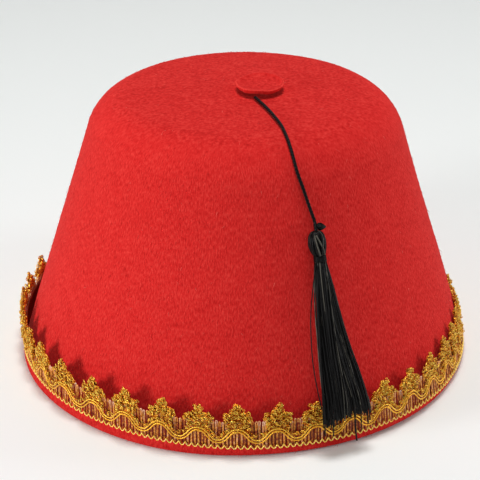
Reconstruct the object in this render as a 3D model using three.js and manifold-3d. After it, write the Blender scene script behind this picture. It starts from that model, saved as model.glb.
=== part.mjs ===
// Fez hat: a felt crown open at the bottom, a gold braid round its rim with 40 standing fleurons,
// a felt button on top and a black cord that hangs a tassel over the front of the braid.
// Millimetres, +Z up. The origin is the centre of the rim's flat bottom, and the wearer faces -Y.
import * as THREE from "three";
import Module from "manifold-3d";
import { mergeVertices } from "three/addons/utils/BufferGeometryUtils.js";

const DEGREE = Math.PI / 180;
const GAP = 0.3; // clearance between pieces that touch on the real hat

// Crown
const RIM_RADIUS = 95; // outside, at the rim's bottom edge
const HAT_HEIGHT = 113;
const WALL_LEAN = 17.7 * DEGREE; // the wall leans in from upright by this much
const SHOULDER_RADIUS = 20; // rounding between the wall and the top
const DOME_SLOPE = 4.3 * DEGREE; // slope of the low dome where it meets the shoulder
const FELT = 2.2;
const CROWN_SEGMENTS = 80;
const SHOULDER_STEPS = 6;
const DOME_STEPS = 2;

// Felt button on the top, a little to the right and front of the middle, drawn down by its stitch
const BUTTON_RADIUS = 10;
const BUTTON_THICKNESS = 2;
const BUTTON_DISH = 0.7; // its edge stands this much higher than its middle
const BUTTON_FLAT = 4; // radius of the middle that lies flat
const BUTTON_CHAMFER = 0.6;
const BUTTON_X = 6;
const BUTTON_Y = -3.4;
const BUTTON_SEGMENTS = 28;

// Braid
const FLEURONS = 40;
const FLEURON_OFFSET = -1.5 * DEGREE; // turn of the fleuron nearest the front
const COLUMNS_PER_FLEURON = 10;
const BRAID_INNER = 94.4;
const BRAID_OUTER = 95.5;
const BRAID_BOTTOM = 2.8;
const BRAID_TOP = 15; // top of the plain band, between fleurons
const FLEURON_TOP = 22.9;
const BRAID_LEAN = 6.3; // the fleurons' tops lean in by this much where the braid lies on the wall
const BRAID_LEAN_TURN = 105 * DEGREE; // round the hat to where it leans most; it stands upright opposite
const BRAID_LEAN_FADE = 3; // power by which the lean fades round the hat
const PITCH = (2 * Math.PI * BRAID_OUTER) / FLEURONS;
// The round lobes of one fleuron: x along the band from its middle, z of the lobe's centre, radius
const LOBES = [
  { x: -3.5, z: 18, radius: 2.1 },
  { x: 0, z: 20.4, radius: 2.5 },
  { x: 3.5, z: 18, radius: 2.1 },
];

// Cord, from under the button's front edge, over the shoulder and down the wall to the knot
const CORD_DIAMETER = 1.4;
const CORD_SIDES = 8;
const CORD_STEPS = 40;
const CORD_ROUTE = [
  [3.9, -13.4, 113.85],
  [7.6, -22, 113.6],
  [11, -31.1, 113.15],
  [13.7, -39.5, 112.55],
  [15.2, -46.3, 111.7],
  [16.6, -52, 109.75],
  [18, -56.7, 106.35],
  [19.5, -59.75, 101.7],
  [21.5, -61.45, 96.6],
  [23.6, -62.8, 90.6],
  [25.95, -64.4, 84.4],
];

// Tassel: its frame sits at the head's middle, on the wall: x sideways, -y out of the wall, -z down it
const TASSEL_TURN = 21.3 * DEGREE; // round the hat from the front, towards +X
const HEAD_HEIGHT = 77.4; // of the head's middle above the rim
const HEAD_STANDOFF = 3.5; // from the felt to the head's middle
const TASSEL_SIDES = 20;
// drop down the wall, shift sideways, shift out of the wall, half width, half thickness
const HEAD_SECTIONS = [
  { drop: -4.75, side: 0, out: 0, wide: 0.9, thick: 0.8 },
  { drop: -4.2, side: 0, out: 0, wide: 2.2, thick: 1.9 },
  { drop: -3, side: 0, out: 0, wide: 3.1, thick: 2.7 },
  { drop: -1.2, side: 0, out: 0, wide: 3.5, thick: 3.1 },
  { drop: 0.6, side: 0, out: 0, wide: 3.55, thick: 3.1 },
  { drop: 2.4, side: 0.1, out: 0.05, wide: 3.2, thick: 2.9 },
  { drop: 3.8, side: 0.25, out: 0.1, wide: 2.7, thick: 2.5 },
  { drop: 4.75, side: 0.4, out: 0.2, wide: 2.2, thick: 2.1 },
];
const BINDING_SECTIONS = [
  { drop: 5.05, side: 0.4, out: 0.2, wide: 2.3, thick: 2.1 },
  { drop: 6.85, side: 0.4, out: 0.3, wide: 2.4, thick: 2.1 },
];
// The skirt stands off the wall lower down, where it passes over the fleurons
const SKIRT_SECTIONS = [
  { drop: 7.15, side: 0.4, out: 0.3, wide: 2.5, thick: 2.2 },
  { drop: 16, side: 0.5, out: 1.3, wide: 3.6, thick: 2.5 },
  { drop: 25, side: 0.8, out: 2.2, wide: 4.5, thick: 2.5 },
  { drop: 34, side: 1.2, out: 3.3, wide: 5.4, thick: 2.5 },
  { drop: 42.5, side: 1.6, out: 4.5, wide: 6.6, thick: 2.4 },
  { drop: 51, side: 2.2, out: 5.9, wide: 7.9, thick: 2.3 },
  { drop: 59.5, side: 2.6, out: 6.7, wide: 9.1, thick: 2.2 },
  { drop: 67, side: 3.1, out: 5.2, wide: 10.1, thick: 2 },
];

// Knot that ties the cord to the head, and the cord's cut end beside it
const KNOT_RADIUS = 1.4;
const KNOT_DROP = -(4.75 + GAP + KNOT_RADIUS);
const KNOT_SIDE = 0.6;
const KNOT_OUT = -1.5;
const TAIL_LENGTH = 2.4;
const TAIL_START = 1;
const TAIL_RADIUS = 1.4;
const TAIL_TIP_RADIUS = 0.4;
const KNOT_SEGMENTS = 14;

const wasm = await Module();
wasm.setup();

// ---- Materials ----

const redFelt = new THREE.MeshStandardMaterial({ color: 0xd42a2c, roughness: 0.95, metalness: 0 });
const goldBraid = new THREE.MeshStandardMaterial({ color: 0xd9a520, roughness: 0.35, metalness: 0.8 });
const blackCord = new THREE.MeshStandardMaterial({ color: 0x141618, roughness: 0.5, metalness: 0 });

// ---- Helpers ----

// A named mesh.
function piece(name, geometry, material) {
  const mesh = new THREE.Mesh(geometry, material.clone());
  mesh.name = name;
  return mesh;
}

// The solid of a closed geometry.
function toSolid(geometry) {
  const bare = geometry.clone();
  bare.deleteAttribute("normal");
  bare.deleteAttribute("uv");
  const merged = mergeVertices(bare, 1e-4);
  const vertProperties = merged.attributes.position.array;
  const triVerts = new Uint32Array(merged.index.array);
  return new wasm.Manifold(new wasm.Mesh({ numProp: 3, vertProperties, triVerts }));
}

// The geometry of a solid.
function toGeometry(solid) {
  const { vertProperties, triVerts } = solid.getMesh();
  const geometry = new THREE.BufferGeometry();
  geometry.setAttribute("position", new THREE.BufferAttribute(vertProperties, 3));
  geometry.setIndex(new THREE.BufferAttribute(triVerts, 1));
  geometry.computeVertexNormals();
  return geometry;
}

// A closed form through a table of oval sections in the tassel's frame. A unit cylinder has one ring
// of vertices for each row, and each ring is moved and stretched to its row.
function oval(sections) {
  const rows = sections.length - 1;
  const geometry = new THREE.CylinderGeometry(1, 1, 1, TASSEL_SIDES, rows);
  const position = geometry.attributes.position;
  for (let i = 0; i < position.count; i++) {
    const row = sections[Math.round((0.5 - position.getY(i)) * rows)];
    const x = row.side + row.wide * position.getX(i);
    const y = row.thick * -position.getZ(i) - row.out;
    position.setXYZ(i, x, y, -row.drop);
  }
  return geometry;
}

// ---- Crown ----

// The profile of the felt's face that lies `inset` inside the outer one, from the rim to the axis:
// a straight wall, a round shoulder tangent to it and a low dome tangent to the shoulder.
function crownProfile(inset) {
  const rise = Math.tan(DOME_SLOPE / 2);
  const reach =
    RIM_RADIUS * Math.cos(WALL_LEAN) - (HAT_HEIGHT - SHOULDER_RADIUS) * Math.sin(WALL_LEAN);
  const centreR =
    (reach - SHOULDER_RADIUS) / (Math.cos(WALL_LEAN) - rise * Math.sin(WALL_LEAN));
  const centreZ = HAT_HEIGHT - SHOULDER_RADIUS - centreR * rise;
  const domeRadius = SHOULDER_RADIUS + centreR / Math.sin(DOME_SLOPE);
  const domeCentreZ = centreZ - centreR / Math.tan(DOME_SLOPE);
  const points = [new THREE.Vector2(RIM_RADIUS - inset / Math.cos(WALL_LEAN), 0)];
  for (let i = 0; i <= SHOULDER_STEPS; i++) {
    const angle = THREE.MathUtils.lerp(WALL_LEAN, Math.PI / 2 - DOME_SLOPE, i / SHOULDER_STEPS);
    const radius = SHOULDER_RADIUS - inset;
    const r = centreR + radius * Math.cos(angle);
    const z = centreZ + radius * Math.sin(angle);
    points.push(new THREE.Vector2(r, z));
  }
  for (let i = 1; i <= DOME_STEPS; i++) {
    const angle = DOME_SLOPE * (1 - i / DOME_STEPS);
    const radius = domeRadius - inset;
    const r = radius * Math.sin(angle);
    const z = domeCentreZ + radius * Math.cos(angle);
    points.push(new THREE.Vector2(r, z));
  }
  return points;
}

// Lathes turn about Y, so each is stood up on Z.
function turned(profile, segments) {
  return new THREE.LatheGeometry(profile, segments).rotateX(Math.PI / 2);
}

// Down the inner face from the axis, across the rim's flat and up the outer face to the axis.
function makeCrown() {
  const inner = crownProfile(FELT).reverse();
  const outer = crownProfile(0);
  return piece("crown", turned([...inner, ...outer], CROWN_SEGMENTS), redFelt);
}

// ---- Button ----

function makeButton() {
  const edgeLow = BUTTON_DISH + BUTTON_CHAMFER;
  const edgeHigh = BUTTON_DISH + BUTTON_THICKNESS - BUTTON_CHAMFER;
  const profile = [
    new THREE.Vector2(0, 0),
    new THREE.Vector2(BUTTON_FLAT, 0),
    new THREE.Vector2(BUTTON_RADIUS - BUTTON_CHAMFER, BUTTON_DISH),
    new THREE.Vector2(BUTTON_RADIUS, edgeLow),
    new THREE.Vector2(BUTTON_RADIUS, edgeHigh),
    new THREE.Vector2(BUTTON_RADIUS - BUTTON_CHAMFER, BUTTON_DISH + BUTTON_THICKNESS),
    new THREE.Vector2(BUTTON_FLAT, BUTTON_THICKNESS),
    new THREE.Vector2(0, BUTTON_THICKNESS),
  ];
  const button = piece("top_button", turned(profile, BUTTON_SEGMENTS), redFelt);
  button.position.set(BUTTON_X, BUTTON_Y, HAT_HEIGHT + GAP);
  return button;
}

// ---- Braid ----

// Height of the braid's top edge at x along the band from the middle of the nearest fleuron.
function edgeHeight(x) {
  let height = BRAID_TOP;
  for (const lobe of LOBES) {
    const across = Math.abs(x - lobe.x);
    if (across < lobe.radius) {
      height = Math.max(height, lobe.z + Math.sqrt(lobe.radius ** 2 - across ** 2));
    }
  }
  return height;
}

// How far in the braid's edge leans at a height and a turn round the hat.
function leanIn(height, turn) {
  const round = ((1 + Math.cos(turn - BRAID_LEAN_TURN)) / 2) ** BRAID_LEAN_FADE;
  const up = (height - BRAID_BOTTOM) / (FLEURON_TOP - BRAID_BOTTOM);
  return BRAID_LEAN * round * up;
}

// A square ring whose top edge is raised column by column to the fleurons' outline, and leans in.
function makeBraid() {
  const profile = [
    new THREE.Vector2(BRAID_INNER, BRAID_BOTTOM),
    new THREE.Vector2(BRAID_OUTER, BRAID_BOTTOM),
    new THREE.Vector2(BRAID_OUTER, BRAID_TOP),
    new THREE.Vector2(BRAID_INNER, BRAID_TOP),
    new THREE.Vector2(BRAID_INNER, BRAID_BOTTOM),
  ];
  const geometry = turned(profile, FLEURONS * COLUMNS_PER_FLEURON);
  const position = geometry.attributes.position;
  const middle = (BRAID_BOTTOM + BRAID_TOP) / 2;
  for (let i = 0; i < position.count; i++) {
    if (position.getZ(i) > middle) {
      const x = position.getX(i);
      const y = position.getY(i);
      const turn = Math.atan2(x, -y);
      const turns = ((turn - FLEURON_OFFSET) / (2 * Math.PI)) * FLEURONS;
      const height = edgeHeight((turns - Math.round(turns)) * PITCH);
      const inward = 1 - leanIn(height, turn) / Math.hypot(x, y);
      position.setXYZ(i, x * inward, y * inward, height);
    }
  }
  return piece("trim_braid", geometry, goldBraid);
}

// ---- Cord ----

function makeCord() {
  const curve = new THREE.CatmullRomCurve3(CORD_ROUTE.map((p) => new THREE.Vector3(...p)));
  const section = new THREE.Shape();
  for (let i = 0; i < CORD_SIDES; i++) {
    const angle = (2 * Math.PI * i) / CORD_SIDES;
    const x = (CORD_DIAMETER / 2) * Math.cos(angle);
    const y = (CORD_DIAMETER / 2) * Math.sin(angle);
    if (i === 0) section.moveTo(x, y);
    else section.lineTo(x, y);
  }
  const geometry = new THREE.ExtrudeGeometry(section, { steps: CORD_STEPS, extrudePath: curve });
  return piece("tassel_cord", geometry, blackCord);
}

// ---- Tassel ----

// A round knot joined to the cord's cut end, which points sideways.
function makeKnot() {
  const knot = toSolid(new THREE.SphereGeometry(KNOT_RADIUS, KNOT_SEGMENTS, KNOT_SEGMENTS / 2));
  const cone = new THREE.CylinderGeometry(TAIL_TIP_RADIUS, TAIL_RADIUS, TAIL_LENGTH, KNOT_SEGMENTS);
  const tail = cone.rotateZ(-Math.PI / 2).translate(TAIL_START + TAIL_LENGTH / 2, 0, 0);
  const mesh = piece("cord_knot", toGeometry(knot.add(toSolid(tail))), blackCord);
  mesh.position.set(KNOT_SIDE, -KNOT_OUT, -KNOT_DROP);
  return mesh;
}

// The pieces that hang on the wall share a frame that leans with it and is turned round the hat.
function makeTassel() {
  const hung = new THREE.Group();
  hung.rotation.z = TASSEL_TURN;
  const onWall = new THREE.Group();
  const radius =
    RIM_RADIUS - HEAD_HEIGHT * Math.tan(WALL_LEAN) + HEAD_STANDOFF / Math.cos(WALL_LEAN);
  onWall.position.set(0, -radius, HEAD_HEIGHT);
  onWall.rotation.x = -WALL_LEAN;
  onWall.add(makeKnot());
  onWall.add(piece("tassel_head", oval(HEAD_SECTIONS), blackCord));
  onWall.add(piece("tassel_binding", oval(BINDING_SECTIONS), blackCord));
  onWall.add(piece("tassel_skirt", oval(SKIRT_SECTIONS), blackCord));
  hung.add(onWall);
  return hung;
}

const fez = new THREE.Group();
fez.add(makeCrown(), makeButton(), makeBraid(), makeCord(), makeTassel());

export default fez;
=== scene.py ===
"""Fez hat: the looks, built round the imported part, in metres, +Z up, the wearer facing -Y.

A pressed felt crown with its short nap, a felt button, a gold braid of looped metallic yarn round
the rim, and a black rayon cord that hangs a tassel over the front of the braid.
"""
import math

import bpy
import numpy as np
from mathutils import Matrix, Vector


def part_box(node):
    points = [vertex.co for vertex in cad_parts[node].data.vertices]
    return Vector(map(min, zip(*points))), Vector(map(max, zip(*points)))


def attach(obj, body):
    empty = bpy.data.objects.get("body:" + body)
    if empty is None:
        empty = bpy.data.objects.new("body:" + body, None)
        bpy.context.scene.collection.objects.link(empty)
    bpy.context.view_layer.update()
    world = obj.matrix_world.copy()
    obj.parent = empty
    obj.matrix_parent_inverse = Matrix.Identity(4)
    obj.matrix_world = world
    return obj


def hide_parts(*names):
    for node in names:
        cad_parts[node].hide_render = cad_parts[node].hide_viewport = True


bl_info = {
    "name": "Fez hat",
    "version": (1, 0, 0),
    "blender": (4, 5, 0),
    "location": "View3D > Sidebar > Fez",
    "description": "Makes a felt fez with a looped gold braid and a black tassel",
    "category": "Add Mesh",
}

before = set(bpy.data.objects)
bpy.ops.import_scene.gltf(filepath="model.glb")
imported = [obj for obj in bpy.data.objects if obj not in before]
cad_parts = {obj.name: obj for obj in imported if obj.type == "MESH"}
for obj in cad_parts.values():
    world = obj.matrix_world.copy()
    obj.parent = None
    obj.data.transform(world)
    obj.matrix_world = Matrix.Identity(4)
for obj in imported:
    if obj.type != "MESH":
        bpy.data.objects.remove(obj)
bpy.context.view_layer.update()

MM = 0.001
DEGREE = math.pi / 180
TURN = 2 * math.pi

CROWN_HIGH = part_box("crown")[1]
BUTTON_LOW, BUTTON_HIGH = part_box("top_button")
BRAID_LOW, BRAID_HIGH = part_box("trim_braid")

# The cord's route from under the button's front edge, over the shoulder and down to the knot, in mm
CORD_ROUTE = (
    (3.9, -13.4, 113.85),
    (7.6, -22, 113.6),
    (11, -31.1, 113.15),
    (13.7, -39.5, 112.55),
    (15.2, -46.3, 111.7),
    (16.6, -52, 109.75),
    (18, -56.7, 106.35),
    (19.5, -59.75, 101.7),
    (21.5, -61.45, 96.6),
    (23.6, -62.8, 90.6),
    (25.95, -64.4, 84.4),
)

# The cord's last stretch, through the knot into the head's top, in mm in the tassel's frame:
# sideways, out of the wall and down it
KNOT_ROUTE = ((0.75, -2.2, -8.1), (0.6, -1.6, -7), (0.3, -0.7, -5.7), (0.1, 0, -4.2))

# The cord's cut end: shares of its length, and its half breadth there, in mm
BUD_BREADTH = ((0, 0.14, 0.3, 0.5, 0.78, 1), (0.3, 0.85, 1.3, 1.4, 0.8, 0.1))

# Sections of the tassel, in mm, in the frame that leans with the wall: how far down the wall from the
# head's middle, how far sideways and out of the wall the section's middle lies, its half width and
# its half thickness
SECTION = ("drop", "side", "out", "wide", "thick")
HEAD_ROWS = (
    (-4.75, 0, 0, 0.9, 0.8),
    (-4.2, 0, 0, 2.2, 1.9),
    (-3, 0, 0, 3.1, 2.7),
    (-1.2, 0, 0, 3.5, 3.1),
    (0.6, 0, 0, 3.55, 3.1),
    (2.4, 0.1, 0.05, 3.2, 2.9),
    (3.8, 0.25, 0.1, 2.7, 2.5),
    (4.75, 0.4, 0.2, 2.2, 2.1),
)
BINDING_ROWS = ((4.6, 0.4, 0.2, 2.25, 2.1), (7.2, 0.4, 0.3, 2.4, 2.1))
SKIRT_ROWS = (
    (6.6, 0.4, 0.3, 2.2, 1.9),
    (16, 0.35, 1.3, 3.75, 2.5),
    (25, 0.4, 2.2, 4.95, 2.5),
    (34, 0.65, 3.3, 6.1, 2.5),
    (42.5, 0.95, 4.5, 7.4, 2.4),
    (51, 1.5, 5.9, 8.7, 2.3),
    (59.5, 2.1, 6.7, 9.7, 2.2),
    (67, 2.9, 5.2, 10.3, 2),
)
# The skirt's longer and stray strands: start and end sideways, as shares of the skirt's half width,
# how far each bows sideways, in mm, and the drop of its end, in mm
STRAY = ("start", "end", "bow", "drop", "radius")
STRAY_ROWS = (
    (-0.9, -1.05, -2.8, 61, 0.22),
    (-0.75, -0.95, -0.3, 72, 0.3),
    (-0.5, -0.63, 0.2, 72.7, 0.25),
    (0.2, 0.27, 0.1, 76.4, 0.36),
    (0.55, 0.5, 0.2, 72, 0.25),
    (0.7, 0.78, 0, 70.6, 0.3),
    (0.8, 0.86, 0, 69.4, 0.25),
)

# One half of a fleuron's looped yarn, from the trough of the wave to the fleuron's middle: distance
# along the band from that middle and height above the rim, in mm
FLEURON_ROUTE = (
    (-7.5, 8.7),
    (-6.0, 9.1),
    (-4.6, 10.3),
    (-3.6, 12),
    (-3.6, 13.5),
    (-4.5, 14.8),
    (-5.0, 16.4),
    (-4.5, 17.9),
    (-3.4, 18.4),
    (-2.7, 17.4),
    (-3.8, 16.6),
    (-3.6, 15.2),
    (-3.0, 14),
    (-2.0, 13.2),
    (-0.8, 13.4),
    (-0.7, 14.7),
    (-2.0, 15.1),
    (-2.6, 16.1),
    (-1.5, 16.7),
    (-0.5, 17.4),
    (-1.5, 18.3),
    (-1.4, 20.1),
    (-0.9, 21.6),
    (-0.3, 22.3),
    (-0.4, 20.8),
    (0, 19.4),
)

# How tall the upper parts of twelve fleurons across the front are, as shares, from the fourth on the
# left of the middle one to the seventh on its right
FLEURON_HEIGHTS = (1.0, 1.0, 1.02, 0.94, 1.06, 1.0, 0.88, 0.97, 1.04, 0.93, 0.9, 0.97)

# The yarn that fills a fleuron: its half breadth and its height above the rim, in mm
FLEURON_WEB = (
    (4.0, 10),
    (3.0, 11.2),
    (2.7, 12.4),
    (3.1, 13.6),
    (4.1, 14.8),
    (4.4, 16),
    (3.9, 17.1),
    (2.6, 18.1),
    (1.0, 19.1),
    (0.9, 20.2),
    (0.7, 21.3),
)

# Places round the rim: the middle and the breadth of each, as an angle from the front, towards +X
FLARE_PLACE = (-45 * DEGREE, 38 * DEGREE)
LIFT_PLACE = (27 * DEGREE, 30 * DEGREE)
RIGHT_SIDE = (84 * DEGREE, 34 * DEGREE)
LEFT_SIDE = (-98 * DEGREE, 40 * DEGREE)
RISE_PLACE = (-50 * DEGREE, 48 * DEGREE)
SINK_PLACE = (80 * DEGREE, 30 * DEGREE)
PROUD_PLACES = ((-90 * DEGREE, 45 * DEGREE), (95 * DEGREE, 35 * DEGREE))
OVER_CORD_PLACE = (-14 * DEGREE, 26 * DEGREE)

# Where the band is stretched as it is sewn on: how far it moves along, and the middle and breadth of
# the stretch, all in degrees round the hat from the front, towards +X
STRETCHES = ((3.5, -108, 26), (-2.6, -59, 15), (-2, 81, 12))

# Waves of the felt: how many go round the hat, how far each turns from the rim to the top and where
# it starts, in radians, and its share of the unevenness. The last three are a fine ripple.
FELT_WAVES = (
    (2, 9, 0.4, 0.35),
    (3, -17, 2.1, 0.25),
    (5, 23, 4.0, 0.18),
    (9, 41, 1.3, 0.1),
    (43, 113, 0.7, 0.08),
    (61, -157, 2.9, 0.08),
    (97, 211, 5.1, 0.06),
)


# The lights: the name and the property of its power, then how far round the hat from the front,
# towards +X, and how far up, in degrees
LIGHTS = (("key_light", "key", -60, 10), ("top_light", "top", 0, 89), ("fill_light", "fill", 90, 10))


# ---- Sizes and colours ----


def linear(hex_colour):
    """The linear colour, with full alpha, of an sRGB hex one."""
    parts = np.array([int(hex_colour[i : i + 2], 16) for i in (0, 2, 4)]) / 255
    straight = np.where(parts <= 0.04045, parts / 12.92, ((parts + 0.055) / 1.055) ** 2.4)
    return (*straight.tolist(), 1.0)


def distance(name, description, default):
    """A length property, in metres."""
    return bpy.props.FloatProperty(
        name=name, description=description, default=default, precision=5, subtype="DISTANCE"
    )


def turn(name, description, default):
    """An angle property, in radians."""
    return bpy.props.FloatProperty(name=name, description=description, default=default, subtype="ANGLE")


def colour(name, description, hex_colour):
    """A colour property, with alpha."""
    return bpy.props.FloatVectorProperty(
        name=name,
        description=description,
        default=linear(hex_colour),
        size=4,
        min=0,
        max=1,
        subtype="COLOR",
    )


def power(name, description, default):
    """A light's power property, in watts."""
    return bpy.props.FloatProperty(name=name, description=description, default=default, unit="POWER")


def count(name, description, default):
    """A whole number property."""
    return bpy.props.IntProperty(name=name, description=description, default=default, min=1)


class CrownSizes(bpy.types.PropertyGroup):
    """The felt crown and its button"""

    rim_radius: distance("Rim radius", "Outside, at the rim's bottom edge", CROWN_HIGH.x)
    height: distance("Height", "From the rim to the top's middle", CROWN_HIGH.z)
    wall_lean: turn("Wall lean", "How far the wall leans in from upright", 17.7 * DEGREE)
    shoulder: distance("Shoulder", "Radius of the rounding between wall and top", 20 * MM)
    dome_slope: turn("Dome slope", "Slope of the top where it meets the shoulder", 4.3 * DEGREE)
    felt: distance("Felt", "Thickness of the felt", 2.2 * MM)
    unevenness: distance("Unevenness", "Height of the slow waves of hand-blocked felt", 0.25 * MM)
    rim_flare: distance("Rim flare", "How far the rim stands out at its front left", 1.1 * MM)
    rim_lift: distance("Rim lift", "How far the rim lifts at its front right", 0.7 * MM)
    rim_tuck: distance("Rim tuck", "How far the rim is pressed in on the right", 0.9 * MM)
    fibres: count("Fibres", "Loose fibres that stand out of the crown's nap", 8000)
    fibre_length: distance("Fibre length", "Longest loose fibre", 2.0 * MM)
    fibre_width: distance("Fibre width", "Drawn thicker than wool is, so that it shows", 0.08 * MM)
    button_dish: distance("Button dish", "Rise of the button's edge over its middle", 0.7 * MM)
    button_tilt: distance("Button tilt", "How far the button's front dips", 0.45 * MM)
    red: colour("Red", "The felt's own colour", "CC2725")
    # Deep red and light red follow the nap's relief: painted shade in its grooves and a painted highlight on
    # its tips; light red is also the painted highlight on the button's cut edge.
    deep_red: colour("Deep red", "The felt between its fibres", "B51B1A")
    light_red: colour("Light red", "The tips of the nap", "D93A34")


class BraidSizes(bpy.types.PropertyGroup):
    """The gold braid round the rim"""

    radius: distance("Radius", "Outside of the woven band", BRAID_HIGH.x)
    bottom: distance("Bottom", "Lowest edge above the rim", BRAID_LOW.z)
    top: distance("Top", "Top of the band between the fleurons", 15 * MM)
    whole_height: distance("Whole height", "From the bottom to the fleurons' tops", 20.1 * MM)
    lean: distance("Lean", "How far the tops lean in where the braid lies on the wall", 6.3 * MM)
    tuck: distance("Tuck", "How far the braid is drawn in on both sides", 1.1 * MM)
    lean_middle: turn("Lean's middle", "Round the hat to where it leans most", 105 * DEGREE)
    rise: distance("Rise", "How much higher the band is sewn on the left", 1.1 * MM)
    least_rise: distance("Least rise", "Of the band over its lowest place", 0.25 * MM)
    fleurons: count("Fleurons", "Number round the hat", 40)
    offset: turn("Offset", "Turn of the fleuron nearest the front", -1.5 * DEGREE)
    ladders: count("Ladder loops", "Loops of the open band for each fleuron", 11)
    ladder_width: distance("Ladder width", "Between the two legs of a loop", 0.56 * MM)
    ladder_yarn: distance("Ladder yarn", "Radius of the band's thread", 0.19 * MM)
    scallops: count("Scallops", "Scallops of the bottom edge for each fleuron", 6)
    scallop_height: distance("Scallop height", "Of the edge yarn's middle", 1.7 * MM)
    edge_yarn: distance("Edge yarn", "Radius of each of its two plies", 0.19 * MM)
    wave_middle: distance("Wave middle", "Height of the wave's middle", 9.1 * MM)
    wave_height: distance("Wave height", "From its middle to a crest", 2.5 * MM)
    wave_yarn: distance("Wave yarn", "Radius of each of its two cords", 0.27 * MM)
    wave_gap: distance("Wave gap", "Between the middles of the two cords", 1.1 * MM)
    loop_radius: distance("Loop radius", "Of one curl of the fleurons' yarn", 0.5 * MM)
    loop_pitch: distance("Loop pitch", "From one curl to the next", 0.34 * MM)
    loop_yarn: distance("Loop yarn", "Radius of the fleurons' yarn", 0.15 * MM)
    web_yarn: distance("Web yarn", "Radius of the yarn that fills a fleuron", 0.6 * MM)
    web_depth: distance("Web depth", "How far that yarn lies behind the curls", 0.7 * MM)
    proud: distance("Proud", "How far the fleurons stand out at both sides", 0.7 * MM)
    # Gold is the yarn's own colour; old gold is painted shade and pale gold and cream are painted glints,
    # spread over the smooth yarns by noise.
    gold: colour("Gold", "Metallic yarn", "F6A81E")
    pale_gold: colour("Pale gold", "Metallic yarn where it is least worn", "FFD650")
    cream: colour("Cream", "The palest metallic yarn", "FFE79A")
    old_gold: colour("Old gold", "Metallic yarn where it is rubbed", "BC6410")
    # The looped yarn's ramp runs from painted shade deep in its curls, loop shade, to a painted highlight,
    # loop glint; amber and bright mark weaker painted shade and glints on the gold.
    loop_shade: colour("Loop shade", "Looped yarn deep in its curls", "5C1604")
    loop_amber: colour("Loop amber", "Looped yarn where its foil is rubbed", "D8560A")
    loop_gold: colour("Loop gold", "Looped yarn", "FF9010")
    loop_bright: colour("Loop bright", "Looped yarn where it is least worn", "FFC434")
    loop_glint: colour("Loop glint", "Looped yarn where it shines", "FFDC60")
    # Thread brown is also the painted shade of the dark threads behind the band's gaps.
    thread_brown: colour("Thread brown", "Open band's thread, at its darkest", "7E2410")
    thread_copper: colour("Thread copper", "Open band's thread, rubbed foil", "C0641C")
    thread_gold: colour("Thread gold", "Open band's thread, bright foil", "EEA438")
    thread_tan: colour("Thread tan", "Open band's thread, bare cotton", "F2AE78")
    thread_pale: colour("Thread pale", "Open band's thread, at its palest", "F6D2B6")


class TasselSizes(bpy.types.PropertyGroup):
    """The cord and the tassel"""

    turn: turn("Turn", "Round the hat from the front, towards +X", 21.3 * DEGREE)
    head_height: distance("Head height", "Of the head's middle above the rim", 77.4 * MM)
    standoff: distance("Stand-off", "From the felt to the head's middle", 3.5 * MM)
    cord_diameter: distance("Cord diameter", "Of the twisted cord", 1.4 * MM)
    cord_lay: distance("Cord lay", "One full turn of its three plies", 4.4 * MM)
    head_strands: count("Head strands", "Folded strands round the head", 32)
    binding_turns: count("Binding turns", "Turns of thread round the neck", 6)
    skirt_strands: count("Skirt strands", "Hanging strands", 430)
    skirt_clumps: count("Skirt clumps", "Bunches that the hanging strands gather in", 44)
    strand: distance("Strand", "Radius of one hanging strand", 0.24 * MM)
    black: colour("Black", "Rayon thread", "0B0A0A")
    # Grey and glint are painted highlights along the thread, where the tint and the filament noise run high.
    grey: colour("Grey", "Rayon thread where it is rubbed", "2A2722")
    glint: colour("Glint", "Rayon thread where it shines", "504D45")


class StageSizes(bpy.types.PropertyGroup):
    """Camera, floor and lights"""

    camera: bpy.props.FloatVectorProperty(
        name="Camera",
        description="Where the camera stands",
        default=(0, -559.4 * MM, 322.4 * MM),
        subtype="TRANSLATION",
    )
    target: bpy.props.FloatVectorProperty(
        name="Target",
        description="What the camera looks at",
        default=(-1.994 * MM, 0, 44.45 * MM),
        subtype="TRANSLATION",
    )
    lens: bpy.props.FloatProperty(name="Lens", description="In mm", default=110.8)
    floor: colour("Floor", "Matte white board", "F0F2F0")
    light_breadth: distance("Light breadth", "Of each disk-shaped light", 400 * MM)
    light_reach: distance("Light reach", "From each light to the hat", 1200 * MM)
    key: power("Key light", "Low on the front left", 8.9)
    top: power("Top light", "Overhead", 9.6)
    fill: power("Fill light", "Low on the right", 5.2)
    sky: bpy.props.FloatProperty(
        name="Room light", description="Even light of a white room", default=0.22
    )


# ---- Surfaces as whole arrays ----


def unit(vectors):
    """Each vector divided by its own length."""
    return vectors / np.linalg.norm(vectors, axis=-1, keepdims=True)


def smooth_route(points, samples):
    """Catmull-Rom curve through given points: each stretch is the cubic that passes through its
    two ends with slopes of half the step between their neighbours. Sampled at even steps of length."""
    points = np.asarray(points, float)
    ends = np.concatenate([2 * points[:1] - points[1:2], points, 2 * points[-1:] - points[-2:-1]])
    steps = 24
    t = (np.arange(steps) / steps)[None, :, None]
    before, start, end, after = (ends[k : len(ends) - 3 + k, None, :] for k in range(4))
    slope_in, slope_out = (end - before) / 2, (after - start) / 2
    bend = 3 * (end - start) - 2 * slope_in - slope_out
    twist = 2 * (start - end) + slope_in + slope_out
    fine = (start + slope_in * t + bend * t**2 + twist * t**3).reshape(-1, points.shape[1])
    fine = np.concatenate([fine, points[-1:]])
    run = np.concatenate([[0], np.cumsum(np.linalg.norm(np.diff(fine, axis=0), axis=1))])
    even = np.linspace(0, run[-1], samples)
    return np.stack([np.interp(even, run, column) for column in fine.T], -1)


def route_length(path):
    """Sum of the steps between a path's points."""
    return float(np.linalg.norm(np.diff(path, axis=0), axis=1).sum())


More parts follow.
